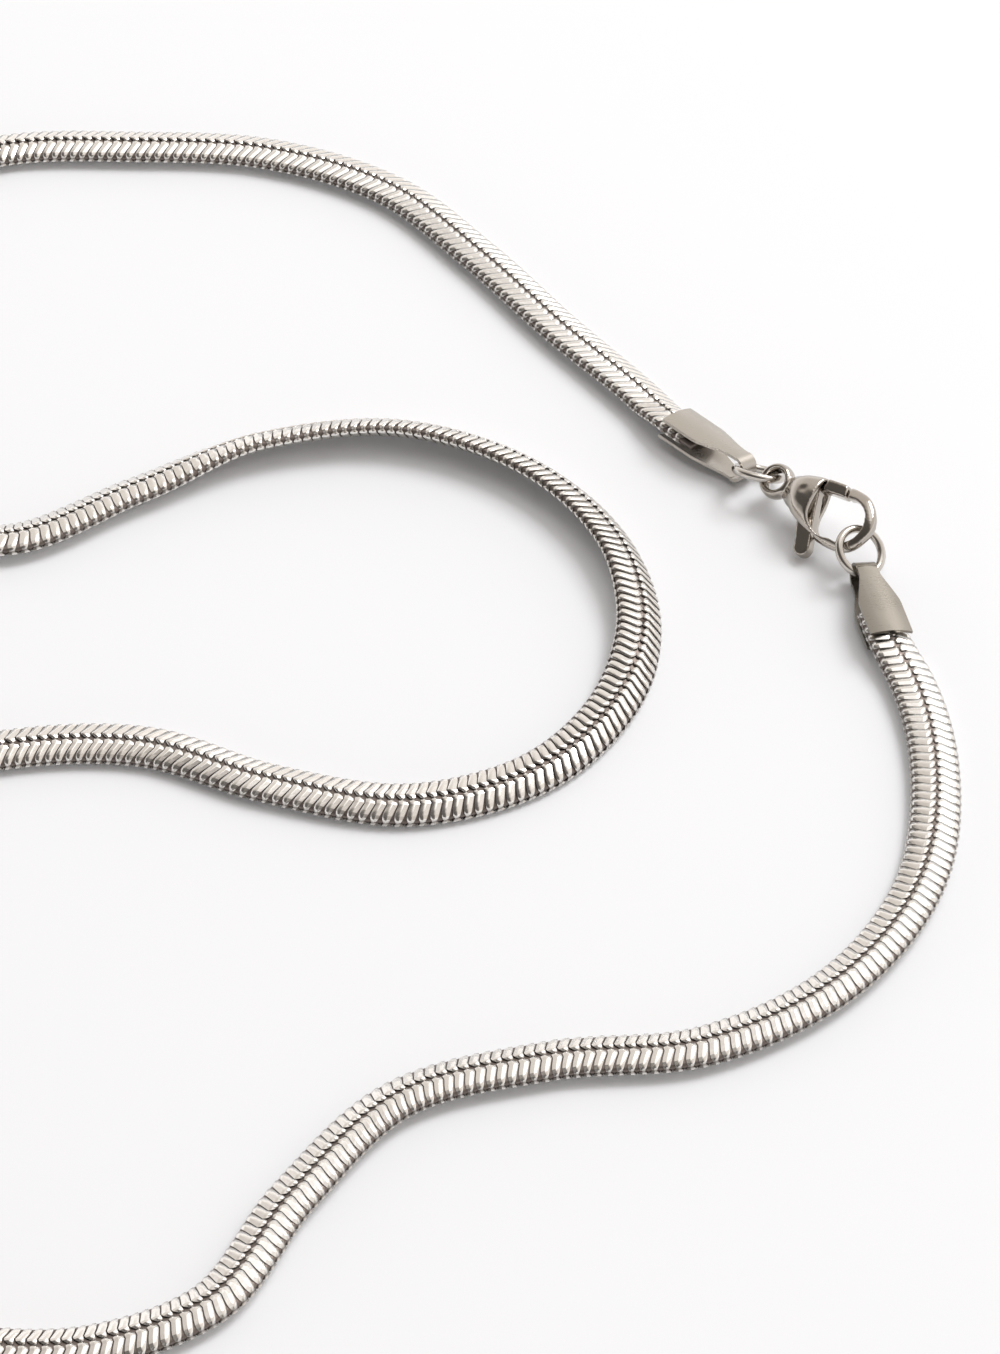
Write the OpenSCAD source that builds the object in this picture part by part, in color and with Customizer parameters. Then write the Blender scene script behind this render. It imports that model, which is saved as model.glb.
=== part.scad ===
// Flat snake chain necklace with fold-over end caps, jump rings and a lobster clasp.
// It lies on a surface: Z is up, Z = 0 is the surface, X and Y are centred on its outline.

/* [Chain] */
// Width of the flat chain
chain_w = 4.1; // [3.4:0.1:4.6]
// Thickness of the chain at its middle lane
chain_t = 1.6; // [1.3:0.1:1.9]
// Width of the middle lane, where the two rows of bands meet
lane_w = 0.9; // [0.6:0.1:1.3]
// Thickness of the chain where its bands turn over at the edge
edge_t = 0.4; // [0.3:0.05:0.6]

/* [End caps] */
// Length of a cap from its open end to the eye that the jump ring runs in
cap_l = 7.6; // [6.5:0.1:8.8]
// Width of a cap over the chain
cap_w = 3.6; // [3.3:0.05:3.8]
// Width of the neck that folds round the jump ring
neck_w = 1.75; // [1.6:0.05:1.9]
// Overall thickness of a cap
cap_t = 2.3; // [2.2:0.05:2.5]
// Thickness of the sheet that a cap is folded from
sheet_t = 0.25; // [0.2:0.05:0.3]
// Radius of the crown across a cap's faces
crown_r = 6.6; // [5:0.2:10]

/* [Jump rings] */
// Outer diameter of a jump ring
ring_od = 4.65; // [4.55:0.05:4.75]
// Wire diameter of a jump ring
wire_d = 0.7; // [0.6:0.05:0.75]

/* [Clasp] */
// Length of the clasp from the centre of its eye to the end of its claw
clasp_l = 10.6; // [10.4:0.05:10.9]
// Width of the clasp across its claw
clasp_w = 5.6; // [5.5:0.05:5.8]
// Full thickness of the clasp's hollow body
body_t = 3.1; // [2.9:0.1:3.4]
// Wall of the hollow body at its mouth
body_wall = 0.55; // [0.45:0.05:0.65]
// Full thickness of the claw
claw_t = 1.45; // [1.35:0.05:1.6]
// Diameter of the round window that the claw encloses
window_d = 3.8; // [3.7:0.05:3.9]
// Outer diameter of the clasp's eye
eye_od = 3.1; // [3:0.1:3.2]
// Diameter of the hole in the clasp's eye
eye_d = 1.7; // [1.6:0.05:1.75]
// Thickness of the eye, along the axis of its hole
eye_t = 1.6; // [1.4:0.1:1.8]
// Diameter of the pin that the lever turns on
pin_d = 0.8; // [0.7:0.05:0.9]
// Radial clearance between the lever and its pin
pin_gap = 0.06; // [0.04:0.01:0.08]
// Clearance on each side of the lever in the body's slot
side_gap = 0.08; // [0.06:0.01:0.12]
// Thickness of the lever inside the body
lever_t = 1.1; // [0.9:0.05:1.3]
// Thickness of the gate, the end of the lever that shuts the claw
gate_t = 1.35; // [1.2:0.05:1.4]
// Width of the gate, from its outer face to the window
gate_w = 1.1; // [1:0.05:1.2]

/* [Hidden] */
$fn = 48;
CROWN_SIDES = 120;
WIRE_SIDES = 24;
CUT = 1;                   // how much longer a cutter is than what it cuts
steel = [0.78, 0.77, 0.75];
dark_steel = [0.62, 0.6, 0.58];

// The eye of the clasp's cap: x, y, the way the cap points in degrees, and its bank
CLASP_CAP = [34.15, 24.3, -45.2, 17];
// The way the catch cap points, and its bank
CATCH_YAW = 103;
CATCH_BANK = 9;
CHAIN_IN = 0.46;           // how far the chain goes into a cap, as a share of the cap's length

// The centre of the claw's window in the clasp's plane, and the clasp's turn about X, Y and Z
WINDOW = [clasp_l * 0.742, -clasp_w * 0.19];
CLASP_TURN = [33.63, -11.65, -38.89];
// The clasp's frame from its cap's eye, as shares of a jump ring's diameter, and its height
CLASP_HANG = [0.6331, -0.6563];
CLASP_Z = 2.23;
// The catch cap's eye from the window's centre, as shares of a jump ring's diameter
CATCH_HANG = [0.2976, -0.9307];
CLASP_AT = [CLASP_CAP[0] + CLASP_HANG[0] * ring_od, CLASP_CAP[1] + CLASP_HANG[1] * ring_od, CLASP_Z];

// A point turned about X, then Y, then Z
function turned(p, r) =
    let(y = p[1] * cos(r[0]), z = p[1] * sin(r[0]), x = p[0] * cos(r[1]) + z * sin(r[1]))
    [x * cos(r[2]) - y * sin(r[2]), x * sin(r[2]) + y * cos(r[2])];
window_at = [CLASP_AT[0], CLASP_AT[1]] + turned(WINDOW, CLASP_TURN);
CATCH_CAP = [window_at[0] + CATCH_HANG[0] * ring_od, window_at[1] + CATCH_HANG[1] * ring_od,
             CATCH_YAW, CATCH_BANK];

// Row of the route at a distance back from a cap's eye
function cap_row(cap, back) = [cap[0] - back * cos(cap[2]), cap[1] - back * sin(cap[2]), cap[3]];

// The chain's route along the surface, chosen by hand, from the clasp's cap round to the catch cap.
// Columns: x, y, bank (degrees that the left edge is raised by).
RUN = [
    [26.85, 32.6, 14], [19.3, 42.1, 8], [12.1, 51.8, 5],
    [4.1, 60.6, 4], [-6.7, 65.5, 3], [-18.7, 66.5, 3], [-30.6, 66.0, 2],
    [-42.0, 60.4, 0], [-48.2, 47.5, 0], [-47.4, 32.5, -2], [-39.5, 20.0, -6],
    [-27.1, 16.0, -10], [-16.6, 21.8, -17], [-6.1, 27.4, -34], [5.7, 28.8, -40],
    [16.6, 24.0, -36], [23.8, 14.5, -35], [25.4, 5.7, -24], [23.1, -2.9, -7],
    [17.5, -9.9, -8], [7.3, -13.8, -8], [-4.3, -11.5, 0], [-14.5, -7.5, -4],
    [-25.4, -7.8, -2], [-37.5, -12.2, 0], [-45.0, -23.5, 0], [-46.0, -38.0, 0],
    [-40.5, -54.0, 0], [-29.5, -65.0, 0], [-15.5, -66.8, -3], [-7.4, -63.2, -6],
    [-1.2, -53.0, -6], [6.5, -43.8, -9], [17.7, -40.1, -6], [29.6, -38.6, -5],
    [39.8, -32.5, -7], [46.5, -22.7, -4], [48.6, -11.0, 5], [47.1, 0.4, 9]];
// With it the rows at the caps: the first and last lie inside them, the next ones at their mouths
ROUTE = concat([cap_row(CLASP_CAP, cap_l * (1 - CHAIN_IN)), cap_row(CLASP_CAP, cap_l)], RUN,
               [cap_row(CATCH_CAP, cap_l), cap_row(CATCH_CAP, cap_l * (1 - CHAIN_IN))]);
LAST = len(ROUTE) - 1;
HALF = 19;                 // row at which the chain's two solids meet
GRIP_T = 0.95;             // share of its thickness that the chain keeps inside a cap
GRIP_W = 0.93;             // share of its width that the chain keeps inside a cap
EDGE_IN = 0.25;            // how far in from the edge the bands start to rise
SHOULDER = 0.52;           // height there, as a share of the chain's thickness
FLOOR_GAP = 0.01;

// Points of the chain's section, across and up, with 12 corners
function section(ws, ts) = let(a = chain_w / 2 * ws, b = a - EDGE_IN * ws, l = lane_w / 2 * ws,
                               e = edge_t / 2 * ts, s = chain_t / 2 * SHOULDER * ts, h = chain_t / 2 * ts)
    [[a, -e], [a, e], [b, s], [l, h], [-l, h], [-b, s],
     [-a, e], [-a, -e], [-b, -s], [-l, -h], [l, -h], [b, -s]];
CORNERS = 12;

function unit(v) = v / norm(v);
function xy(row) = [row[0], row[1]];
function gripped(i) = i <= 1 || i >= LAST - 1;
function row_section(i) = gripped(i) ? section(GRIP_W, GRIP_T) : section(1, 1);

// Height of a cap's middle above the surface when it lies there at a bank, on its neck or its lower edge
function crown_drop(w) = crown_r - sqrt(crown_r * crown_r - w * w / 4);
function cap_z(bank) = max(neck_w / 2 * abs(sin(bank)) + cap_t / 2 * cos(bank),
    cap_w / 2 * abs(sin(bank)) + (cap_t / 2 - crown_drop(cap_w)) * cos(bank)) + FLOOR_GAP;

// Height of the chain's middle when its lowest corner touches the surface
function rest_z(bank) = max([for (p = section(1, 1)) -p[0] * sin(bank) - p[1] * cos(bank)]) + FLOOR_GAP;
function row_z(i) = gripped(i) ? cap_z(ROUTE[i][2]) : rest_z(ROUTE[i][2]);

// Smooth curve through the rows: a cubic on each stretch, with tangents weighted by its chords
function chord(i) = norm(xy(ROUTE[i + 1]) - xy(ROUTE[i]));
function slope(i) = (xy(ROUTE[i + 1]) - xy(ROUTE[i])) / chord(i);
function tangent(i) = i == 0 ? slope(0) : i == LAST ? slope(LAST - 1)
    : (slope(i - 1) * chord(i) + slope(i) * chord(i - 1)) / (chord(i - 1) + chord(i));
function curve(i, f) = let(c = chord(i), f2 = f * f, f3 = f2 * f)
    xy(ROUTE[i]) * (2 * f3 - 3 * f2 + 1) + tangent(i) * c * (f3 - 2 * f2 + f)
    + xy(ROUTE[i + 1]) * (3 * f2 - 2 * f3) + tangent(i + 1) * c * (f3 - f2);
function curve_dir(i, f) = let(c = chord(i), f2 = f * f)
    unit((xy(ROUTE[i]) - xy(ROUTE[i + 1])) * (6 * f2 - 6 * f) / c
    + tangent(i) * (3 * f2 - 4 * f + 1) + tangent(i + 1) * (3 * f2 - 2 * f));
function seg(u) = min(floor(u), LAST - 1);
function mix(a, b, f) = a + (b - a) * f;
function ease(f) = f * f * (3 - 2 * f);
function bank_at(u) = let(i = seg(u)) mix(ROUTE[i][2], ROUTE[i + 1][2], ease(u - i));
function z_at(u) = let(i = seg(u))
    gripped(i) || gripped(i + 1) ? mix(row_z(i), row_z(i + 1), ease(u - i)) : rest_z(bank_at(u));
function section_at(u) = let(i = seg(u), f = u - i)
    [for (k = [0 : CORNERS - 1]) mix(row_section(i)[k], row_section(i + 1)[k], f)];

// The section's corners in place at u, counted in rows along the route
function ring_at(u) = let(i = seg(u), c = curve(i, u - i), p = [c[0], c[1], z_at(u)],
                          t = curve_dir(i, u - i), b = bank_at(u), left = [-t[1], t[0], 0],
                          across = cos(b) * left + [0, 0, sin(b)], up = [0, 0, cos(b)] - sin(b) * left)
    [for (s = section_at(u)) p + across * s[0] + up * s[1]];

// One tube along the route, from row a to row b, with a ring at each row and between rows
module chain_tube(a, b) {
    stations = [for (i = [a : b - 1]) each (chord(i) > 5 ? [i, i + 0.5] : [i]), b];
    n = len(stations);
    points = [for (u = stations) each ring_at(u)];
    sides = [for (r = [0 : n - 2], k = [0 : CORNERS - 1]) let(m = (k + 1) % CORNERS, o = r * CORNERS)
        each [[o + k, o + CORNERS + k, o + CORNERS + m], [o + k, o + CORNERS + m, o + m]]];
    first = [[for (k = [0 : CORNERS - 1]) k]];
    last = [[for (k = [CORNERS - 1 : -1 : 0]) (n - 1) * CORNERS + k]];
    polyhedron(points, concat(first, sides, last), convexity = 10);
}

module chain_clasp_half() {
    color(steel) chain_tube(0, HALF);
}

module chain_catch_half() {
    color(steel) chain_tube(HALF, LAST);
}

// A cap's own frame: its eye is the origin, X runs on from its mouth, Y is across and Z is its top face
function cap_eye(cap) = [cap[0], cap[1], cap_z(cap[3])];
module in_cap_frame(cap, roll) {
    translate(cap_eye(cap)) rotate([roll, 0, cap[2]]) children();
}

// Outline of a cap from above: a straight grip, then a taper to the neck.
// Columns: distance from the mouth as a share of cap_l, and share of the taper done.
TAPER = [[0.45, 0], [0.51, 0.06], [0.66, 0.42], [0.8, 0.8], [0.87, 0.95], [0.93, 1]];
function cap_half(s) = mix(cap_w, neck_w, s) / 2;
module cap_outline() {
    side = [[-cap_l, cap_half(0)], for (r = TAPER) [cap_l * (r[0] - 1), cap_half(r[1])], [0, cap_half(1)]];
    polygon(concat(side, [for (i = [len(side) - 1 : -1 : 0]) [side[i][0], -side[i][1]]]));
}

// The two crowned plates, cut to the outline, and the half-round fold at the eye
module crowned_plate() {
    intersection() {
        linear_extrude(cap_t, center = true) cap_outline();
        translate([-cap_l / 2, 0, cap_t / 2 - crown_r]) rotate([0, 90, 0]) difference() {
            cylinder(h = cap_l, r = crown_r, center = true, $fn = CROWN_SIDES);
            cylinder(h = cap_l + CUT, r = crown_r - sheet_t, center = true, $fn = CROWN_SIDES);
        }
        translate([-cap_l, -cap_w, 0]) cube([cap_l, 2 * cap_w, cap_t]);
    }
}

module cap() {
    fold_r = cap_t / 2;
    crowned_plate();
    rotate([180, 0, 0]) crowned_plate();
    rotate([90, 0, 0]) difference() {
        cylinder(h = neck_w, r = fold_r, center = true);
        cylinder(h = neck_w + CUT, r = fold_r - sheet_t, center = true);
        translate([-cap_t, 0, 0]) cube([2 * cap_t, 2 * cap_t, neck_w + CUT], center = true);
    }
}

module end_cap_clasp() {
    color(steel) in_cap_frame(CLASP_CAP, -CLASP_CAP[3]) cap();
}

module end_cap_catch() {
    color(steel) in_cap_frame(CATCH_CAP, CATCH_CAP[3]) cap();
}

// A jump ring in a cap's eye. Columns: azimuth, elevation and roll of the ring's plane in degrees,
// and how far its wire's centre line lies beyond the eye's axis.
ring_r = (ring_od - wire_d) / 2;
CLASP_RING = [-41.1, 13.5, -31.6, 0.13];
CATCH_RING = [98.6, 28.2, 20.3, 0.17];

module jump_ring(eye, pose) {
    translate(eye) rotate([0, -pose[1], pose[0]]) rotate([pose[2], 0, 0])
        translate([ring_r + pose[3], 0, 0])
            rotate_extrude() translate([ring_r, 0]) circle(d = wire_d, $fn = WIRE_SIDES);
}

module jump_ring_clasp() {
    color(steel) jump_ring(cap_eye(CLASP_CAP), CLASP_RING);
}

module jump_ring_catch() {
    color(steel) jump_ring(cap_eye(CATCH_CAP), CATCH_RING);
}

// The clasp's own frame: its eye is the origin, X runs to the claw's end, Y to the gate, Z is its front.
module in_clasp_frame() {
    translate(CLASP_AT) rotate(CLASP_TURN) children();
}

// Sections of the clasp along its length.
// Columns: place as a share of clasp_l, gate edge and spine edge as shares of clasp_w,
// thickness as a share of claw_t, and how much of body_t swells it.
CLASP = [
    [0.086, 0.13, -0.13, 0.6, 0], [0.145, 0.2, -0.215, 0.8, 0.2], [0.21, 0.26, -0.3, 0.9, 0.6],
    [0.29, 0.302, -0.405, 1, 0.92], [0.373, 0.328, -0.483, 1, 1], [0.445, 0.336, -0.543, 1, 1],
    [0.51, 0.336, -0.586, 1, 0.85], [0.573, 0.336, -0.62, 1, 0.45], [0.645, 0.336, -0.647, 1, 0.12],
    [0.727, 0.328, -0.664, 1, 0], [0.81, 0.3, -0.655, 0.97, 0], [0.88, 0.235, -0.61, 0.93, 0],
    [0.94, 0.125, -0.5, 0.85, 0], [0.982, 0, -0.345, 0.7, 0], [1, -0.1, -0.224, 0.5, 0]];
ROUNDNESS = 0.85;          // below 1 the sections are fuller than an ellipse
AROUND = 24;
function full(v) = sign(v) * pow(abs(v), ROUNDNESS);
function clasp_half_t(r) = mix(claw_t * r[3], body_t, r[4]) / 2;
function clasp_ring(r, inset) = [for (k = [0 : AROUND - 1]) let(a = 360 * k / AROUND)
    [clasp_l * r[0], clasp_w * (r[1] + r[2]) / 2 + (clasp_w * (r[1] - r[2]) / 2 - inset) * full(cos(a)),
     (clasp_half_t(r) - inset) * full(sin(a))]];

// The form between two of its sections, made thinner all round by the inset
module clasp_form(from, to, inset) {
    rows = [for (i = [from : to - 1], f = [0, 0.5]) row_between(i, f), CLASP[to]];
    n = len(rows);
    sides = [for (r = [0 : n - 2], k = [0 : AROUND - 1]) let(m = (k + 1) % AROUND, o = r * AROUND)
        each [[o + k, o + AROUND + k, o + AROUND + m], [o + k, o + AROUND + m, o + m]]];
    first = [[for (k = [0 : AROUND - 1]) k]];
    last = [[for (k = [AROUND - 1 : -1 : 0]) (n - 1) * AROUND + k]];
    polyhedron([for (r = rows) each clasp_ring(r, inset)], concat(first, sides, last), convexity = 4);
}

// A section between two rows of the table, on a smooth curve through them and their neighbours
function row_between(i, f) = let(a = CLASP[max(i - 1, 0)], b = CLASP[i], c = CLASP[i + 1],
                                 d = CLASP[min(i + 2, len(CLASP) - 1)])
    [for (k = [0 : 4]) b[k] + f / 2 * (c[k] - a[k] + f * (2 * a[k] - 5 * b[k] + 4 * c[k] - d[k]
        + f * (3 * (b[k] - c[k]) + d[k] - a[k])))];

// Places in the clasp's plane: its eye, where the hollow body ends, the hook's tip and the pin
EYE = [0, clasp_w * 0.045];
mouth_x = clasp_l * 0.44;
tip_x = clasp_l * 0.655;
outer_y = clasp_w * 0.328;  // outer face of the gate, level with the clasp's gate edge
PIVOT = [clasp_l * 0.33, clasp_w * 0.06];
GATE_GAP = 0.12;            // gap at each end of the gate
PIN_FIT = 0.02;             // radial fit of the pin in the body
PIN_SHORT = 0.2;            // how much shorter the pin is than the body is thick
gate_reach = norm([tip_x - PIVOT[0], outer_y - PIVOT[1]]);

// The window of the claw, the gap that the gate shuts and the hook's face, round the pin
module claw_window() {
    translate(WINDOW) circle(d = window_d);
    translate([mouth_x + window_d / 2, WINDOW[1]]) circle(d = window_d);
    intersection() {
        translate([mouth_x, WINDOW[1]]) square([clasp_l - mouth_x, clasp_w]);
        translate(PIVOT) circle(r = gate_reach);
    }
}

// The hollow for the lever: round the pin to the mouth, and through the spine for the tab
BOSS_WALL = 0.6;            // wall of the lever round its pin
ARM_W = 0.75;               // width of the lever's arm
ROOF = 0.36;                // wall of the body over the arm
ROOM = 0.25;                // free room round the boss
MOUTH_ROWS = [3, 6];        // sections between which the body is hollowed out at its mouth
PIN_SEAT = 0.3;             // wall left round the pin there
TAB = [1.7, -4.7];        // centre of the tab's end from the pin
TAB_R = 0.75;
TAB_SLOT = [-2.2, 2.3];     // slot for the tab, before and behind the pin
boss_r = pin_d / 2 + BOSS_WALL;
arm_y = outer_y - ROOF;     // roof of the hollow
slot_y = -clasp_w * 0.27;   // where the tab's slot begins
module lever_hollow() {
    back = PIVOT[0] - boss_r - ROOM;
    translate([back, slot_y - ROOM]) square([mouth_x + ROOM - back, arm_y - slot_y + ROOM]);
    translate([PIVOT[0] + TAB_SLOT[0], -clasp_w]) square([TAB_SLOT[1] - TAB_SLOT[0], clasp_w + slot_y]);
}

module clasp_body() {
    slot_t = lever_t + 2 * side_gap;
    color(dark_steel) in_clasp_frame() difference() {
        union() {
            clasp_form(0, len(CLASP) - 1, 0);
            translate(EYE) rotate_extrude() translate([(eye_od + eye_d) / 4, 0])
                scale([(eye_od - eye_d) / 2, eye_t]) circle(d = 1, $fn = WIRE_SIDES);
        }
        translate([0, 0, -body_t]) linear_extrude(2 * body_t) claw_window();
        translate([0, 0, -slot_t / 2]) linear_extrude(slot_t) lever_hollow();
        intersection() {
            clasp_form(MOUTH_ROWS[0], MOUTH_ROWS[1], body_wall);
            translate([PIVOT[0] + pin_d / 2 + PIN_SEAT, -clasp_w, -body_t])
                cube([mouth_x, 2 * clasp_w, 2 * body_t]);
        }
        translate([PIVOT[0], PIVOT[1], -body_t]) cylinder(h = 2 * body_t, d = pin_d + 2 * PIN_FIT);
        translate(EYE) cylinder(h = 2 * body_t, d = eye_d, center = true);
    }
}

// Lever: arm to the gate, boss round the pin and the tab that the finger pulls
module lever_profile() {
    end = PIVOT + TAB;
    difference() {
        union() {
            translate(PIVOT) circle(r = boss_r);
            translate([PIVOT[0], arm_y - GATE_GAP - ARM_W]) square([mouth_x - PIVOT[0] + 2 * GATE_GAP, ARM_W]);
            polygon([PIVOT + [-boss_r, 0], PIVOT + [boss_r, 0], end + [TAB_R, 0], end - [TAB_R, 0]]);
            translate(end) circle(r = TAB_R);
        }
        translate(PIVOT) circle(d = pin_d + 2 * pin_gap);
    }
}

module gate() {
    intersection() {
        translate([mouth_x + GATE_GAP, outer_y - gate_w]) square([tip_x - mouth_x, gate_w]);
        translate(PIVOT) circle(r = gate_reach - GATE_GAP);
    }
}

module clasp_lever() {
    color(steel) in_clasp_frame() {
        translate([0, 0, -lever_t / 2]) linear_extrude(lever_t) lever_profile();
        translate([0, 0, -gate_t / 2]) linear_extrude(gate_t) gate();
    }
}

module lever_pin() {
    color(dark_steel) in_clasp_frame() translate([PIVOT[0], PIVOT[1], 0])
        cylinder(h = body_t - PIN_SHORT, d = pin_d, center = true);
}

chain_clasp_half();
chain_catch_half();
end_cap_clasp();
end_cap_catch();
jump_ring_clasp();
jump_ring_catch();
clasp_body();
clasp_lever();
lever_pin();
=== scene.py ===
"""A flat steel snake chain necklace, lying in loose curves on a white sheet.

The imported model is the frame. The two halves of the chain get their woven links here,
as strips that are bent round the chain's section and set along its route. The clasp's
body, with its pin, and the lever get skins with rounded edges. The caps and rings keep
their solids and get their finishes. Lengths are in metres.
"""

import logging
import math
from dataclasses import dataclass, field
from enum import Enum
from typing import Any, Union

import bmesh
import bpy
import numpy as np
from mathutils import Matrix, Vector


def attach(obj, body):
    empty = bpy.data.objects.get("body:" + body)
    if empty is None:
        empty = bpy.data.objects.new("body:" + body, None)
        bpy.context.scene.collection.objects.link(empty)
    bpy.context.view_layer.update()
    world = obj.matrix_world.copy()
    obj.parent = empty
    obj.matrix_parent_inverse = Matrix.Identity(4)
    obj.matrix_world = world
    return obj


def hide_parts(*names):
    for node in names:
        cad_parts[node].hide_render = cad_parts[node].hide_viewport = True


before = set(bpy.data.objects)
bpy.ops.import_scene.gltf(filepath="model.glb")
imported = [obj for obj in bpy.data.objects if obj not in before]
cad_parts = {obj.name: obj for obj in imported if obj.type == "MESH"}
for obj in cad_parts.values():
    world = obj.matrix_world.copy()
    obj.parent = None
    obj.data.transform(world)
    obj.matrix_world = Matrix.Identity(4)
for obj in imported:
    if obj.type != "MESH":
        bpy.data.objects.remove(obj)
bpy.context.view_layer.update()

log = logging.getLogger("snake_chain")

Colour = tuple[float, float, float]
Triple = tuple[float, float, float]
Pair = tuple[float, float]
MM = 0.001

# Route of the chain's middle: x and y in metres, and the bank in degrees, left edge raised.
ROUTE: list[tuple[float, float, float]] = [
    (0.031258, 0.027212, 17), (0.028795, 0.029693, 17), (0.02685, 0.0326, 14), (0.0193, 0.0421, 8),
    (0.0121, 0.0518, 5), (0.0041, 0.0606, 4), (-0.0067, 0.0655, 3), (-0.0187, 0.0665, 3),
    (-0.0306, 0.0660, 2), (-0.0420, 0.0604, 0), (-0.0482, 0.0475, 0), (-0.0474, 0.0325, -2),
    (-0.0395, 0.0200, -6), (-0.0271, 0.0160, -10), (-0.0166, 0.0218, -17), (-0.0061, 0.0274, -34),
    (0.0057, 0.0288, -40), (0.0166, 0.0240, -36), (0.0238, 0.0145, -35), (0.0254, 0.0057, -24),
    (0.0231, -0.0029, -7), (0.0175, -0.0099, -8), (0.0073, -0.0138, -8), (-0.0043, -0.0115, 0),
    (-0.0145, -0.0075, -4), (-0.0254, -0.0078, -2), (-0.0375, -0.0122, 0), (-0.0450, -0.0235, 0),
    (-0.0460, -0.0380, 0), (-0.0405, -0.0540, 0), (-0.0295, -0.0650, 0), (-0.0155, -0.0668, -3),
    (-0.0074, -0.0632, -6), (-0.0012, -0.0530, -6), (0.0065, -0.0438, -9), (0.0177, -0.0401, -6),
    (0.0296, -0.0386, -5), (0.0398, -0.0325, -7), (0.0465, -0.0227, -4), (0.0486, -0.0110, 5),
    (0.0471, 0.0004, 9), (0.04572, 0.003915, 9), (0.044933, 0.007321, 9),
]
# The route's row where the first half of the chain ends and the second begins
HALF_ROW = 19


class Slot(Enum):
    """The record's names of two material slots, for chain steel and polished steel."""

    CHAIN = "chain_steel"
    POLISHED = "polished_steel"


class Side(Enum):
    """The two rows of link strips, to the left and right of the route's direction."""

    LEFT = 1
    RIGHT = -1


# Node trees


class Signal:
    """An output socket whose operators add Math nodes to its tree."""

    def __init__(self, tree: "NodeSheet", socket: bpy.types.NodeSocket) -> None:
        """Keeps the socket and the tree that new nodes go into.

        Args:
            tree: the node sheet that owns the socket.
            socket: the output socket.
        """
        self.tree = tree
        self.socket = socket

    def _math(self, operation: str, *values: "Value") -> "Signal":
        """Adds one Math node.

        Args:
            operation: the Math node's operation.
            values: its inputs in order.

        Returns:
            The node's output.
        """
        return self.tree.add("ShaderNodeMath", {"operation": operation}, dict(enumerate(values)))

    def __add__(self, other: "Value") -> "Signal":
        """self + other."""
        return self._math("ADD", self, other)

    def __radd__(self, other: "Value") -> "Signal":
        """other + self."""
        return self._math("ADD", other, self)

    def __sub__(self, other: "Value") -> "Signal":
        """self - other."""
        return self._math("SUBTRACT", self, other)

    def __rsub__(self, other: "Value") -> "Signal":
        """other - self."""
        return self._math("SUBTRACT", other, self)

    def __mul__(self, other: "Value") -> "Signal":
        """self * other."""
        return self._math("MULTIPLY", self, other)

    def __rmul__(self, other: "Value") -> "Signal":
        """other * self."""
        return self._math("MULTIPLY", other, self)

    def clamped(self, low: float = 0.0, high: float = 1.0) -> "Signal":
        """self, held between low and high."""
        return self._math("MAXIMUM", self._math("MINIMUM", self, high), low)


Value = Union[Signal, float]


class NodeSheet:
    """One node tree that is being filled in."""

    def __init__(self, tree: bpy.types.NodeTree) -> None:
        """Empties the tree.

        Args:
            tree: a material's or the world's node tree.
        """
        self.tree = tree
        tree.nodes.clear()

    def add(self, kind: str, settings: dict[str, Any] | None = None,
            inputs: dict[Any, Any] | None = None, output: Any = 0) -> Signal:
        """Adds a node: its settings are set first, then its sockets.

        Args:
            kind: the node's type.
            settings: its properties; "stops" gives a ramp's positions and colours.
            inputs: values or signals by socket name or number.
            output: the output socket's name or number.

        Returns:
            The output socket as a signal.
        """
        node = self.tree.nodes.new(kind)
        for name, value in (settings or {}).items():
            if name == "stops":
                ramp = node.color_ramp
                while len(ramp.elements) < len(value):
                    ramp.elements.new(1.0)
                for element, (position, colour) in zip(ramp.elements, value):
                    element.position = position
                    element.color = (*colour, 1.0)
            else:
                setattr(node, name, value)
        for name, value in (inputs or {}).items():
            socket = node.inputs[name]
            if isinstance(value, Signal):
                self.tree.links.new(value.socket, socket)
            elif isinstance(value, tuple) and socket.type == "RGBA":
                socket.default_value = (*value, 1.0)
            else:
                socket.default_value = value
        return Signal(self, node.outputs[output] if node.outputs else None)

    def mix(self, share: Value, first: Any, second: Any) -> Signal:
        """Mixes two colours.

        Args:
            share: 0 gives the first colour and 1 the second.
            first: a colour or a signal.
            second: a colour or a signal.

        Returns:
            The mixed colour.
        """
        return self.add("ShaderNodeMix", {"data_type": "RGBA"}, {0: share, 6: first, 7: second}, 2)

    def object_point(self) -> Signal:
        """The surface point in the object's own coordinates."""
        return self.add("ShaderNodeTexCoord", output="Object")

    def noise(self, point: Signal, scale: float, detail: float = 3.0) -> Signal:
        """Fractal noise about 0.5 at the point, with scale in cycles per metre."""
        return self.add("ShaderNodeTexNoise", {"noise_dimensions": "3D"},
                        {"Vector": point, "Scale": scale, "Detail": detail}, 0)

    def stretched(self, point: Signal, turn: Triple, scale: Triple) -> Signal:
        """The point turned by Euler angles and scaled, for a pattern with a direction."""
        return self.add("ShaderNodeMapping", {}, {"Vector": point, "Rotation": turn, "Scale": scale})

    def bumped(self, height: Signal, relief: Pair) -> Signal:
        """The normal over the height, with the relief's strength and its depth in metres."""
        strength, depth = relief
        return self.add("ShaderNodeBump", {}, {"Strength": strength, "Distance": depth, "Height": height})


def new_material(name: str) -> tuple[bpy.types.Material, NodeSheet]:
    """Makes an empty node material.

    Args:
        name: the material's name.

    Returns:
        The material and its node sheet.
    """
    material = bpy.data.materials.new(name)
    material.use_nodes = True
    return material, NodeSheet(material.node_tree)


def close_surface(sheet: NodeSheet, inputs: dict[str, Any]) -> None:
    """Adds the Principled shader and the output.

    Args:
        sheet: the material's node sheet.
        inputs: the shader's sockets.
    """
    shader = sheet.add("ShaderNodeBsdfPrincipled", {}, inputs)
    sheet.add("ShaderNodeOutputMaterial", {}, {"Surface": shader})


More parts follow.
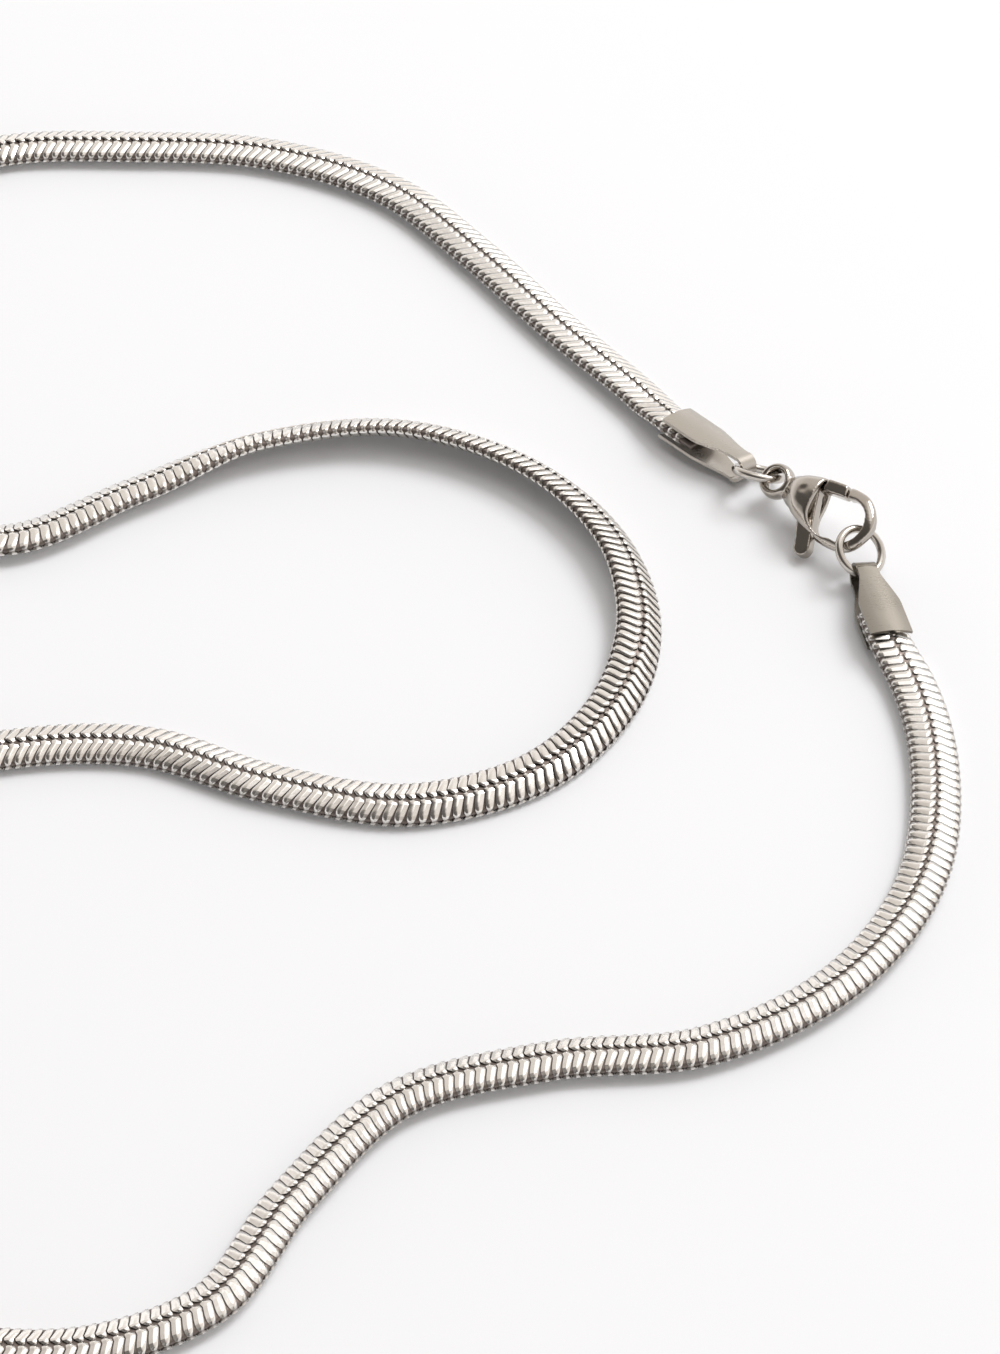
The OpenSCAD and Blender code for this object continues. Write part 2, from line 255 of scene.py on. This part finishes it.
def close_steel(sheet: NodeSheet, colour: Signal, rough: Signal, normal: Signal) -> None:
    """Closes the surface as bare metal.

    Args:
        sheet: the material's node sheet.
        colour: the metal's colour.
        rough: its roughness.
        normal: its bumped normal.
    """
    close_surface(sheet, {"Base Color": colour, "Metallic": 1.0, "Roughness": rough, "Normal": normal})


# Finishes


@dataclass(frozen=True)
class LinkSteel:
    """The chain's steel: polished strips, with painted shade, a dark colour, in the gaps between them, in
    the crease, in the pits by the tips and on the inside.

    ragged is how far the grain frays the edge of the painted shade, patchy how far the
    roughness follows the patches, and gap_rough how much rougher the shaded gaps are. relief has the
    bump's strength and depth, and scales are in cycles per metre.
    """

    name: str = "link_steel"
    bright: Colour = (0.86, 0.84, 0.81)
    dull: Colour = (0.76, 0.735, 0.70)
    # painted shade: the dark colour for the gaps, the crease, the tip pits and the inside
    gap_shade: Colour = (0.19, 0.16, 0.145)
    roughness: float = 0.2
    rough_range: Pair = (0.08, 0.8)
    patch_scale: float = 420.0
    grain_scale: float = 5200.0
    ragged: float = 0.22
    patchy: float = 0.12
    gap_rough: float = 0.3
    relief: Pair = (0.12, 0.02 * MM)

    def material(self) -> bpy.types.Material:
        """Colour goes from bright to gap_shade, the painted shade, with the mesh's recess, and both
        wander slightly.

        Returns:
            The material.
        """
        material, sheet = new_material(self.name)
        recess = sheet.add("ShaderNodeAttribute", {"attribute_name": "recess"}, output="Fac")
        point = sheet.object_point()
        patches = sheet.noise(point, self.patch_scale, 2.0)
        grain = sheet.noise(point, self.grain_scale)
        steel = sheet.mix(patches, self.bright, self.dull)
        # painted shade: the colour darkens towards gap_shade as the mesh's recess rises
        dark = (recess + (grain - 0.5) * self.ragged).clamped()
        colour = sheet.mix(dark, steel, self.gap_shade)
        rough = self.roughness + (patches - 0.5) * self.patchy + recess * self.gap_rough
        close_steel(sheet, colour, rough.clamped(*self.rough_range), sheet.bumped(grain, self.relief))
        return material


@dataclass(frozen=True)
class SheetSteel:
    """Pressed sheet steel with fine drawn lines, as on the fold-over caps.

    turn and line_scale point and stretch the lines. wear_share is the wear's part in the
    colour, and line_rough and wear_rough are how far the roughness follows each of them.
    """

    name: str = "cap_steel"
    light: Colour = (0.50, 0.47, 0.43)
    warm: Colour = (0.37, 0.34, 0.30)
    roughness: float = 0.3
    rough_range: Pair = (0.1, 0.7)
    turn: Triple = (0.0, 0.0, -0.6)
    line_scale: Triple = (900.0, 12000.0, 9000.0)
    wear_scale: float = 600.0
    wear_share: float = 0.7
    line_rough: float = 0.12
    wear_rough: float = 0.14
    relief: Pair = (0.1, 0.01 * MM)

    def material(self) -> bpy.types.Material:
        """Fine lines along the pressing, and cloudy wear.

        Returns:
            The material.
        """
        material, sheet = new_material(self.name)
        point = sheet.object_point()
        lines = sheet.noise(sheet.stretched(point, self.turn, self.line_scale), 1.0, 4.0)
        wear = sheet.noise(point, self.wear_scale)
        share = wear * self.wear_share + lines * (1 - self.wear_share)
        colour = sheet.mix(share.clamped(), self.light, self.warm)
        rough = self.roughness + (lines - 0.5) * self.line_rough + (wear - 0.5) * self.wear_rough
        close_steel(sheet, colour, rough.clamped(*self.rough_range), sheet.bumped(lines, self.relief))
        return material


@dataclass(frozen=True)
class CastSteel:
    """Tumbled and polished cast steel or wire, as on the clasp and the rings.

    scratch_turn and scratch_scale point and stretch the scratches, and cloudy and
    scratchy are how far the roughness follows the clouds and the scratches.
    """

    name: str = "clasp_steel"
    light: Colour = (0.62, 0.59, 0.55)
    warm: Colour = (0.50, 0.465, 0.425)
    roughness: float = 0.17
    rough_range: Pair = (0.06, 0.6)
    cloud_scale: float = 380.0
    scratch_turn: Triple = (0.2, 0.3, 0.5)
    scratch_scale: Triple = (2500.0, 14000.0, 11000.0)
    cloudy: float = 0.1
    scratchy: float = 0.1
    relief: Pair = (0.08, 0.01 * MM)

    def material(self) -> bpy.types.Material:
        """Soft clouding, and short fine scratches in the roughness and the relief.

        Returns:
            The material.
        """
        material, sheet = new_material(self.name)
        point = sheet.object_point()
        clouds = sheet.noise(point, self.cloud_scale)
        fine = sheet.noise(sheet.stretched(point, self.scratch_turn, self.scratch_scale), 1.0)
        colour = sheet.mix(clouds, self.light, self.warm)
        rough = self.roughness + (clouds - 0.5) * self.cloudy + (fine - 0.5) * self.scratchy
        close_steel(sheet, colour, rough.clamped(*self.rough_range), sheet.bumped(fine, self.relief))
        return material


@dataclass(frozen=True)
class PaperWhite:
    """The white sheet that the necklace lies on."""

    name: str = "white_sheet"
    white: Colour = (0.92, 0.94, 0.975)
    shade: Colour = (0.905, 0.925, 0.96)
    cloud_scale: float = 14.0
    roughness: float = 0.75

    def material(self) -> bpy.types.Material:
        """White, very slightly clouded.

        Returns:
            The material.
        """
        material, sheet = new_material(self.name)
        clouds = sheet.noise(sheet.object_point(), self.cloud_scale, 2.0)
        colour = sheet.mix(clouds, self.white, self.shade)
        close_surface(sheet, {"Base Color": colour, "Roughness": self.roughness})
        return material


# Meshes


def mesh_object(name: str, points: np.ndarray, faces: list[list[int]],
                values: dict[str, np.ndarray], material: bpy.types.Material,
                smooth: np.ndarray | None = None) -> bpy.types.Object:
    """Puts computed points and faces into an object at the origin.

    Args:
        name: the piece's name.
        points: vertices, one row each.
        faces: vertex numbers of each face.
        values: point attributes by name.
        material: the finish.
        smooth: which faces are smooth, or None for all of them.

    Returns:
        The object, linked to the scene.
    """
    mesh = bpy.data.meshes.new(name)
    mesh.from_pydata(points.tolist(), [], faces)
    shaded = np.ones(len(faces), dtype=bool) if smooth is None else smooth
    mesh.polygons.foreach_set("use_smooth", shaded)
    for key, value in values.items():
        mesh.attributes.new(key, "FLOAT", "POINT").data.foreach_set("value", value.astype(np.float32))
    mesh.materials.append(material)
    mesh.update()
    thing = bpy.data.objects.new(name, mesh)
    bpy.context.scene.collection.objects.link(thing)
    return thing


def tube_faces(copies: int, rings: int, around: int, inside_out: bool) -> np.ndarray:
    """Quads of closed tubes whose vertices run copy by copy, ring by ring.

    Args:
        copies: number of tubes.
        rings: rings in each tube.
        around: vertices in each ring.
        inside_out: turns the winding round.

    Returns:
        Vertex numbers, four to a row.
    """
    copy, ring, corner = np.meshgrid(np.arange(copies), np.arange(rings - 1), np.arange(around),
                                     indexing="ij")
    base = (copy * rings + ring) * around
    nearby = (corner + 1) % around
    quads = np.stack([base + corner, base + around + corner, base + around + nearby, base + nearby],
                     axis=-1).reshape(-1, 4)
    return quads[:, ::-1] if inside_out else quads


def end_faces(copies: int, rings: int, around: int, inside_out: bool) -> np.ndarray:
    """The faces that close both ends of the tubes of tube_faces.

    Args:
        copies: number of tubes.
        rings: rings in each tube.
        around: vertices in each ring.
        inside_out: turns the winding round.

    Returns:
        Vertex numbers, one face to a row.
    """
    start = np.arange(copies)[:, None] * rings * around + np.arange(around)[None, :]
    finish = (start + (rings - 1) * around)[:, ::-1]
    both = np.concatenate([start, finish])
    return both[:, ::-1] if inside_out else both


# The chain


@dataclass
class Route:
    """The chain's middle line, sampled densely, and the frame that its section stands in.

    The line is the source's: a cubic on each stretch between rows, whose tangents are the
    neighbouring chords' slopes weighted by their lengths. The bank eases between rows, and
    the height lets the section's lowest corner touch the sheet, or fits it into a cap.
    shoulder is the height edge_in from the edge, as a share of the thickness, grip the
    shares of width and thickness that a cap leaves, and steps the samples in a stretch.
    """

    width: float = 4.1 * MM
    thickness: float = 1.6 * MM
    lane: float = 0.9 * MM
    edge: float = 0.4 * MM
    edge_in: float = 0.25 * MM
    shoulder: float = 0.52
    cap_thickness: float = 2.3 * MM
    cap_width: float = 3.6 * MM
    neck_width: float = 1.75 * MM
    crown: float = 6.6 * MM
    grip: Pair = (0.93, 0.95)
    floor_gap: float = 0.01 * MM
    steps: int = 60
    table: dict[str, np.ndarray] = field(default_factory=dict)
    rows: np.ndarray = field(default_factory=lambda: np.array(ROUTE))
    row_lengths: np.ndarray = field(default_factory=lambda: np.zeros(0))

    def section(self) -> np.ndarray:
        """The chain's section: edges, shoulders and crests on both faces.

        Returns:
            Its twelve corners, as across and up.
        """
        a, e = self.width / 2, self.edge / 2
        b, s = a - self.edge_in, self.thickness / 2 * self.shoulder
        lane, h = self.lane / 2, self.thickness / 2
        return np.array([(a, -e), (a, e), (b, s), (lane, h), (-lane, h), (-b, s),
                         (-a, e), (-a, -e), (-b, -s), (-lane, -h), (lane, -h), (b, -s)])

    def _rest_height(self, bank: np.ndarray) -> np.ndarray:
        """Height of the middle when the section's lowest corner lies on the sheet.

        Args:
            bank: the banks in radians.

        Returns:
            The heights.
        """
        corners = self.section()
        drop = -corners[:, 0] * np.sin(bank)[..., None] - corners[:, 1] * np.cos(bank)[..., None]
        return drop.max(axis=-1) + self.floor_gap

    def _cap_height(self, bank: np.ndarray) -> np.ndarray:
        """Height of the middle inside a cap that lies on the sheet, on its neck or lower edge.

        Args:
            bank: the banks in radians.

        Returns:
            The heights.
        """
        drop = self.crown - math.sqrt(self.crown**2 - self.cap_width**2 / 4)
        neck = self.neck_width / 2 * np.abs(np.sin(bank)) + self.cap_thickness / 2 * np.cos(bank)
        edge = self.cap_width / 2 * np.abs(np.sin(bank)) + (self.cap_thickness / 2 - drop) * np.cos(bank)
        return np.maximum(neck, edge) + self.floor_gap

    def __post_init__(self) -> None:
        """Samples the line and keeps it by arc length."""
        points, bank = self.rows[:, :2], np.radians(self.rows[:, 2])
        last = len(points) - 1
        leg = np.diff(points, axis=0)
        chord = np.linalg.norm(leg, axis=1)
        slope = leg / chord[:, None]
        weight = (chord[:-1] / (chord[:-1] + chord[1:]))[:, None]
        tangent = np.concatenate([slope[:1], slope[:-1] * (1 - weight) + slope[1:] * weight, slope[-1:]])
        u = np.linspace(0, last, last * self.steps + 1)
        i = np.minimum(u.astype(int), last - 1)
        f = (u - i)[:, None]
        c = chord[i][:, None]
        line = (points[i] * (2 * f**3 - 3 * f**2 + 1) + tangent[i] * c * (f**3 - 2 * f**2 + f)
                + points[i + 1] * (3 * f**2 - 2 * f**3) + tangent[i + 1] * c * (f**3 - f**2))
        way = ((points[i] - points[i + 1]) * (6 * f**2 - 6 * f) / c
               + tangent[i] * (3 * f**2 - 4 * f + 1) + tangent[i + 1] * (3 * f**2 - 2 * f))
        way /= np.linalg.norm(way, axis=1)[:, None]
        f = f[:, 0]
        ease = f * f * (3 - 2 * f)
        turn = bank[i] + (bank[i + 1] - bank[i]) * ease
        row = np.arange(last + 1)
        gripped = (row <= 1) | (row >= last - 1)
        row_z = np.where(gripped, self._cap_height(bank), self._rest_height(bank))
        z = np.where(gripped[i] | gripped[i + 1], row_z[i] + (row_z[i + 1] - row_z[i]) * ease,
                     self._rest_height(turn))
        wide = np.where(gripped, self.grip[0], 1.0)
        thick = np.where(gripped, self.grip[1], 1.0)
        far = np.concatenate([[0.0], np.cumsum(np.linalg.norm(np.diff(line, axis=0), axis=1))])
        self.table = {"far": far, "x": line[:, 0], "y": line[:, 1], "z": z, "way_x": way[:, 0],
                      "way_y": way[:, 1], "bank": turn, "wide": wide[i] + (wide[i + 1] - wide[i]) * f,
                      "thick": thick[i] + (thick[i + 1] - thick[i]) * f, "row": u}
        self.row_lengths = far[::self.steps]

    @property
    def length(self) -> float:
        """The chain's whole length."""
        return float(self.table["far"][-1])

    def at(self, name: str, far: np.ndarray) -> np.ndarray:
        """One of the table's columns at distances along the route."""
        return np.interp(far, self.table["far"], self.table[name])

    def place(self, far: np.ndarray, across: np.ndarray, up: np.ndarray) -> np.ndarray:
        """Puts section points into the scene.

        The point is the middle plus across times the banked left vector, plus up times the
        banked upward vector, both scaled where a cap grips the chain.

        Args:
            far: distance of each point along the route.
            across: its distance to the left of the middle.
            up: its height over the middle.

        Returns:
            The points, with x, y and z on the last axis.
        """
        x, y, z = (self.at(k, far) for k in ("x", "y", "z"))
        tx, ty, bank = (self.at(k, far) for k in ("way_x", "way_y", "bank"))
        norm = np.hypot(tx, ty)
        a, h = across * self.at("wide", far), up * self.at("thick", far)
        side = a * np.cos(bank) - h * np.sin(bank)
        return np.stack([x - ty / norm * side, y + tx / norm * side,
                         z + a * np.sin(bank) + h * np.cos(bank)], axis=-1)


@dataclass
class SnakeChain:
    """The woven links: two rows of bent strips that meet in a zigzag along the crest.

    strip has a row for each ring of a strip, from its inner end over the top face, round the
    edge and back under: across and up in millimetres, share of the full width, share of the
    tip's slant, how far the ring is hooked the tip's way in millimetres, and painted shade.
    cross goes round a ring: share of the half width, drop under the face in millimetres, painted shade.
    plate is the number of cross's side that is the strip's face, which alone is smooth.
    slants has, by row of the route, how far the left and right tips run ahead, in millimetres.
    fill is the share of the pitch that a strip takes, stagger how far each row of strips is
    moved along, as a share of the pitch, and core_share the size in the section of the inside, which is
    painted in full shade.
    """

    route: Route
    finish: LinkSteel = field(default_factory=LinkSteel)
    pitch: float = 0.85 * MM
    fill: float = 0.97
    stagger: float = 0.25
    # The strip's last column is painted shade: dark at the inner end in the crease, in the pit by the
    # tip, and at the inner end underneath.
    strip: list[tuple[float, ...]] = field(default_factory=lambda: [
        (-0.03, 0.60, 0.30, 0.0, 0.26, 0.8), (0.10, 0.745, 0.60, 0.0, 0.22, 0.15),
        (0.32, 0.79, 0.90, 0.01, 0.10, 0.0), (0.55, 0.75, 0.98, 0.12, 0.0, 0.0),
        (1.10, 0.605, 0.95, 0.57, 0.0, 0.0), (1.50, 0.495, 0.87, 0.84, 0.0, 0.0),
        (1.78, 0.36, 0.72, 0.97, 0.0, 0.0), (1.93, 0.18, 0.50, 1.0, 0.0, 0.3),
        (1.92, 0.04, 0.42, 1.0, 0.0, 0.85), (2.05, -0.14, 0.86, 1.0, 0.0, 0.0),
        (1.90, -0.34, 0.96, 0.98, 0.0, 0.0), (0.90, -0.655, 1.0, 0.42, 0.0, 0.0),
        (0.05, -0.72, 0.6, 0.0, 0.0, 0.5)])
    # The cross's last column is painted shade: dark on the strip's edges, where the gaps between strips
    # are, and on its inner face.
    cross: list[tuple[float, float, float]] = field(default_factory=lambda: [
        (-1.0, 0.16, 0.9), (-0.92, 0.07, 0.0), (-0.1, 0.0, 0.0), (0.93, 0.0, 0.0), (1.0, 0.1, 0.9),
        (0.0, 0.3, 1.0)])
    plate: int = 2
    slants: list[tuple[float, float, float]] = field(default_factory=lambda: [
        (0, 1.0, 1.0), (3, 0.95, 0.95), (7, 0.7, 0.7), (12, 0.4, 0.4), (15, 0.25, 0.35),
        (18, 0.7, 0.45), (20, 0.8, 0.45), (22, 0.45, 0.6), (24, 0.85, 0.85), (28, 0.6, 0.6),
        (34, 0.5, 0.5), (38, 0.4, 0.4), (42, 0.36, 0.31)])
    core_share: Pair = (0.9, 0.72)
    core_step: float = 1.0 * MM

    def _slant(self, far: np.ndarray, side: Side) -> np.ndarray:
        """How far a tip runs ahead of its inner end: forward on the left, back on the right.

        Args:
            far: distances along the route.
            side: which row of strips.

        Returns:
            The distances that the tips are moved along by.
        """
        rows, left, right = np.array(self.slants).T
        share = np.interp(self.route.at("row", far), rows, left if side is Side.LEFT else right)
        return share * side.value * MM

    def _strips(self, low: float, high: float, side: Side) -> tuple[np.ndarray, list, np.ndarray, list]:
        """One row of strips between two distances along the route.

        A ring's point lies at the strip's own distance, plus the ring's share of the slant and
        its hook, plus its share of half the width. It sinks under the face, along the face's
        normal, by its drop.

        Args:
            low: the first distance.
            high: the last distance.
            side: which row.

        Returns:
            Vertices, faces, painted shade and which faces are smooth.
        """
        strip, cross = np.array(self.strip), np.array(self.cross)
        count = int(round(self.route.length / self.pitch))
        step = self.route.length / count
        far = (np.arange(count) + 0.5) * step + (self.stagger * step) * side.value
        reach = far + self._slant(far, side)
        keep = (far >= low) & (far < high) & (reach > step / 2) & (reach < self.route.length - step / 2)
        keep &= (far > step / 2) & (far < self.route.length - step / 2)
        far = far[keep]
        across, up, wide, lean, hook, recess = strip.T
        run, rise = np.gradient(across), np.gradient(up)
        stride = np.hypot(run, rise)
        out_across, out_up = -rise / stride, run / stride
        share, drop, hollow = cross.T
        shift = self._slant(far, side)[:, None] * lean + hook * MM * side.value
        along = (far[:, None, None] + shift[:, :, None]
                 + (step / 2 * self.fill) * (wide[:, None] * share[None, :])[None])
        a = (across[:, None] - out_across[:, None] * drop) * MM * side.value
        h = (up[:, None] - out_up[:, None] * drop) * MM
        points = self.route.place(along, np.broadcast_to(a, along.shape), np.broadcast_to(h, along.shape))
        # painted shade of each point: its ring's share plus its corner's
        deep = np.clip(recess[:, None] + hollow[None, :], 0, 1)
        shape = (len(far), len(strip), len(cross))
        turned = side is Side.RIGHT
        sides, ends = tube_faces(*shape, turned).tolist(), end_faces(*shape, turned).tolist()
        smooth = (np.arange(len(sides)) % len(cross) == self.plate).tolist() + [False] * len(ends)
        return points.reshape(-1, 3), sides + ends, np.broadcast_to(deep, shape).reshape(-1), smooth

    def _core(self, low: float, high: float) -> tuple[np.ndarray, list, np.ndarray, list]:
        """The inside that shows between strips, painted in full shade: the section, shrunk, carried along
        the route.

        Args:
            low: the first distance.
            high: the last distance.

        Returns:
            Vertices, faces, painted shade, full everywhere, and which faces are smooth.
        """
        section = self.route.section() * np.array(self.core_share)
        stations = np.linspace(low, high, int((high - low) / self.core_step) + 1)
        shape = (len(stations), len(section))
        points = self.route.place(np.broadcast_to(stations[:, None], shape),
                                  np.broadcast_to(section[:, 0], shape),
                                  np.broadcast_to(section[:, 1], shape))
        faces = tube_faces(1, *shape, True).tolist() + end_faces(1, *shape, True).tolist()
        # the inside is painted in full shade
        return points.reshape(-1, 3), faces, np.ones(shape[0] * shape[1]), [True] * len(faces)

    def build(self, name: str, node: str, low: float, high: float,
              material: bpy.types.Material) -> bpy.types.Object:
        """Makes one half of the chain in place of its plain solid.

        Args:
            name: the piece's name.
            node: the CAD node that it stands for.
            low: distance along the route where it starts.
            high: distance where it ends.
            material: the links' finish.

        Returns:
            The piece.
        """
        parts = [self._strips(low, high, side) for side in Side] + [self._core(low, high)]
        starts = np.cumsum([0] + [len(p[0]) for p in parts])
        faces = [[v + int(start) for v in face] for part, start in zip(parts, starts) for face in part[1]]
        points = np.concatenate([p[0] for p in parts])
        # painted shade of every point, as an attribute for the steel's colour
        recess = np.concatenate([p[2] for p in parts])
        smooth = np.concatenate([p[3] for p in parts])
        piece = mesh_object(name, points, faces, {"recess": recess}, material, smooth)
        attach(piece, "necklace")
        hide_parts(node)
        log.info("%s: %d vertices, %d faces", name, len(points), len(faces))
        return piece


# The fittings


@dataclass(frozen=True)
class Casting:
    """A cast piece's tumbled skin: its solids with all edges and facets rounded off.

    The skin is the solids' surface sampled on a fine grid of cubes, relaxed by moving each
    point towards its neighbours' middle by the share pull, relax times over, and split once
    into smaller faces. Corners of the solids closer than weld are one.
    """

    nodes: tuple[str, ...]
    body: str
    finish: CastSteel
    grid: float = 0.1 * MM
    relax: int = 20
    pull: float = 0.5
    weld: float = 0.001 * MM

    def build(self) -> bpy.types.Object:
        """Makes the skin in place of the nodes.

        Returns:
            The piece.
        """
        work = bmesh.new()
        for node in self.nodes:
            work.from_mesh(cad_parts[node].data)
        bmesh.ops.remove_doubles(work, verts=work.verts, dist=self.weld)
        mesh = bpy.data.meshes.new(f"{self.nodes[0]}_skin")
        work.to_mesh(mesh)
        work.free()
        mesh.materials.clear()
        mesh.materials.append(self.finish.material())
        piece = bpy.data.objects.new(mesh.name, mesh)
        bpy.context.scene.collection.objects.link(piece)
        steps = (("REMESH", {"mode": "VOXEL", "voxel_size": self.grid, "use_smooth_shade": True}),
                 ("SMOOTH", {"factor": self.pull, "iterations": self.relax}),
                 ("SUBSURF", {"levels": 1, "render_levels": 1}))
        for kind, settings in steps:
            modifier = piece.modifiers.new(kind.lower(), kind)
            for name, value in settings.items():
                setattr(modifier, name, value)
        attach(piece, self.body)
        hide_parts(*self.nodes)
        log.info("%s: %s", piece.name, self.finish.name)
        return piece


@dataclass
class Fittings:
    """The caps and rings, which keep their solids and get their finishes, and the castings."""

    clasp_cap: SheetSteel = SheetSteel("cap_steel_by_clasp", turn=(0.0, 0.0, 0.83))
    # painted shade: the cap by the catch gets a darker copy of the same cap steel, standing in for the
    # darker reflection it shows
    catch_cap: SheetSteel = SheetSteel("cap_steel_by_catch", (0.31, 0.29, 0.255), (0.25, 0.228, 0.20),
                                       turn=(0.0, 0.0, -1.34))
    rings: CastSteel = CastSteel("ring_wire", roughness=0.2)
    castings: tuple[Casting, ...] = (
        Casting(("clasp_body", "lever_pin"), "necklace",
                CastSteel("clasp_steel", (0.52, 0.485, 0.445), (0.40, 0.365, 0.325), 0.14)),
        Casting(("clasp_lever",), "lever",
                CastSteel("lever_steel", (0.50, 0.465, 0.425), (0.38, 0.345, 0.305), 0.14)),
    )

    def dress(self) -> None:
        """Gives each CAD node its finish, and makes the castings."""
        finishes = {
            "end_cap_clasp": self.clasp_cap, "end_cap_catch": self.catch_cap,
            "jump_ring_clasp": self.rings, "jump_ring_catch": self.rings,
        }
        made = {finish.name: finish.material() for finish in dict.fromkeys(finishes.values())}
        for node, finish in finishes.items():
            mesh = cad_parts[node].data
            mesh.materials.clear()
            mesh.materials.append(made[finish.name])
            log.info("%s: %s", node, finish.name)
        for casting in self.castings:
            casting.build()


# The studio


@dataclass(frozen=True)
class Softbox:
    """A square area light that looks at the necklace."""

    name: str
    place: Triple
    size: float
    power: float
    tint: Colour = (1.0, 1.0, 1.0)


@dataclass
class Studio:
    """White sheet, soft light, the room that the steel reflects, and the camera.

    The camera looks at target from distance, at elevation degrees. focal and photo_height
    are in the photograph's pixels, sensor is in millimetres and clip in metres. room has the
    colours above by how far a direction points along room_way. Below horizon_top a
    direction's height fades to horizon, and past panel_edge along panel_way to panel, both
    at their slopes.
    """

    target: Triple = (0.014, 0.001, 0.0)
    elevation: float = 45.95
    distance: float = 0.41786
    focal: float = 5149.0
    photo_height: float = 1354.0
    sensor: float = 36.0
    clip: Pair = (0.02, 20.0)
    lights: tuple[Softbox, ...] = (
        Softbox("back_right", (0.66, 0.59, 0.97), 0.62, 9.0, (1.0, 0.995, 0.99)),
    )
    room: tuple[tuple[float, Colour], ...] = (
        (0.0, (0.09, 0.082, 0.077)), (0.32, (0.13, 0.12, 0.112)), (0.48, (0.58, 0.54, 0.50)),
        (0.62, (0.68, 0.635, 0.59)), (0.8, (0.70, 0.66, 0.62)), (0.97, (0.76, 0.72, 0.68)))
    room_way: Pair = (0.45, 0.5)
    horizon: Colour = (1.04, 1.02, 1.005)
    horizon_top: float = 0.42
    horizon_slope: float = 3.0
    panel: Colour = (1.12, 1.10, 1.08)
    panel_way: Triple = (0.1, 0.22, 0.97)
    panel_edge: float = 0.93
    panel_slope: float = 20.0
    brightness: float = 1.3
    sheet_half: float = 1.5

    def sheet(self) -> None:
        """The white sheet, far wider than the view."""
        half = self.sheet_half
        corners = np.array([(-half, -half, 0), (half, -half, 0), (half, half, 0), (-half, half, 0)])
        floor = mesh_object("white_sheet", corners, [[0, 1, 2, 3]], {}, PaperWhite().material())

    def world(self) -> None:
        """The room: white low down and in a panel overhead, beige above, dark behind the camera."""
        world = bpy.data.worlds.new("room")
        world.use_nodes = True
        bpy.context.scene.world = world
        sheet = NodeSheet(world.node_tree)
        way = sheet.add("ShaderNodeTexCoord", output="Generated")
        x = sheet.add("ShaderNodeSeparateXYZ", {}, {0: way}, "X")
        y = sheet.add("ShaderNodeSeparateXYZ", {}, {0: way}, "Y")
        share = (x * self.room_way[0] + y * self.room_way[1] + 0.5).clamped()
        above = sheet.add("ShaderNodeValToRGB", {"stops": self.room}, {0: share}, "Color")
        z = sheet.add("ShaderNodeSeparateXYZ", {}, {0: way}, "Z")
        low = ((self.horizon_top - z) * self.horizon_slope).clamped()
        facing = x * self.panel_way[0] + y * self.panel_way[1] + z * self.panel_way[2]
        overhead = ((facing - self.panel_edge) * self.panel_slope).clamped()
        colour = sheet.mix(overhead, sheet.mix(low, above, self.horizon), self.panel)
        background = sheet.add("ShaderNodeBackground", {}, {"Color": colour, "Strength": self.brightness})
        sheet.add("ShaderNodeOutputWorld", {}, {"Surface": background})

    def light(self, box: Softbox) -> None:
        """Adds one softbox.

        Args:
            box: where it stands, and its size, power and tint.
        """
        data = bpy.data.lights.new(box.name, "AREA")
        data.shape, data.size, data.energy, data.color = "SQUARE", box.size, box.power, box.tint
        lamp = bpy.data.objects.new(box.name, data)
        lamp.location = box.place
        lamp.rotation_mode = "QUATERNION"
        lamp.rotation_quaternion = (Vector(self.target) - Vector(box.place)).to_track_quat("-Z", "Y")
        bpy.context.scene.collection.objects.link(lamp)

    def camera(self) -> None:
        """The camera at the photograph's angle, looking along +Y and down."""
        data = bpy.data.cameras.new("camera")
        data.sensor_fit, data.sensor_width = "AUTO", self.sensor
        data.lens = self.focal / self.photo_height * self.sensor
        data.clip_start, data.clip_end = self.clip
        angle = math.radians(self.elevation)
        back = Vector((0.0, -math.cos(angle), math.sin(angle)))
        eye = bpy.data.objects.new("camera", data)
        eye.location = Vector(self.target) + back * self.distance
        eye.rotation_mode = "QUATERNION"
        eye.rotation_quaternion = (-back).to_track_quat("-Z", "Y")
        bpy.context.scene.collection.objects.link(eye)
        bpy.context.scene.camera = eye

    def build(self) -> None:
        """Makes the camera, room, lights and sheet."""
        self.camera()
        self.world()
        for box in self.lights:
            self.light(box)
        self.sheet()
        bpy.context.scene.view_settings.view_transform = "Standard"


def main() -> None:
    """Builds the studio, the chain and the fittings, in that order."""
    logging.basicConfig(level=logging.INFO, format="%(name)s %(message)s")
    Studio().build()
    route = Route()
    chain = SnakeChain(route)
    steel = chain.finish.material()
    middle = float(route.row_lengths[HALF_ROW])
    chain.build("chain_links_clasp_half", "chain_clasp_half", 0.0, middle, steel)
    chain.build("chain_links_catch_half", "chain_catch_half", middle, route.length, steel)
    Fittings().dress()


if __name__ == "__main__":
    main()
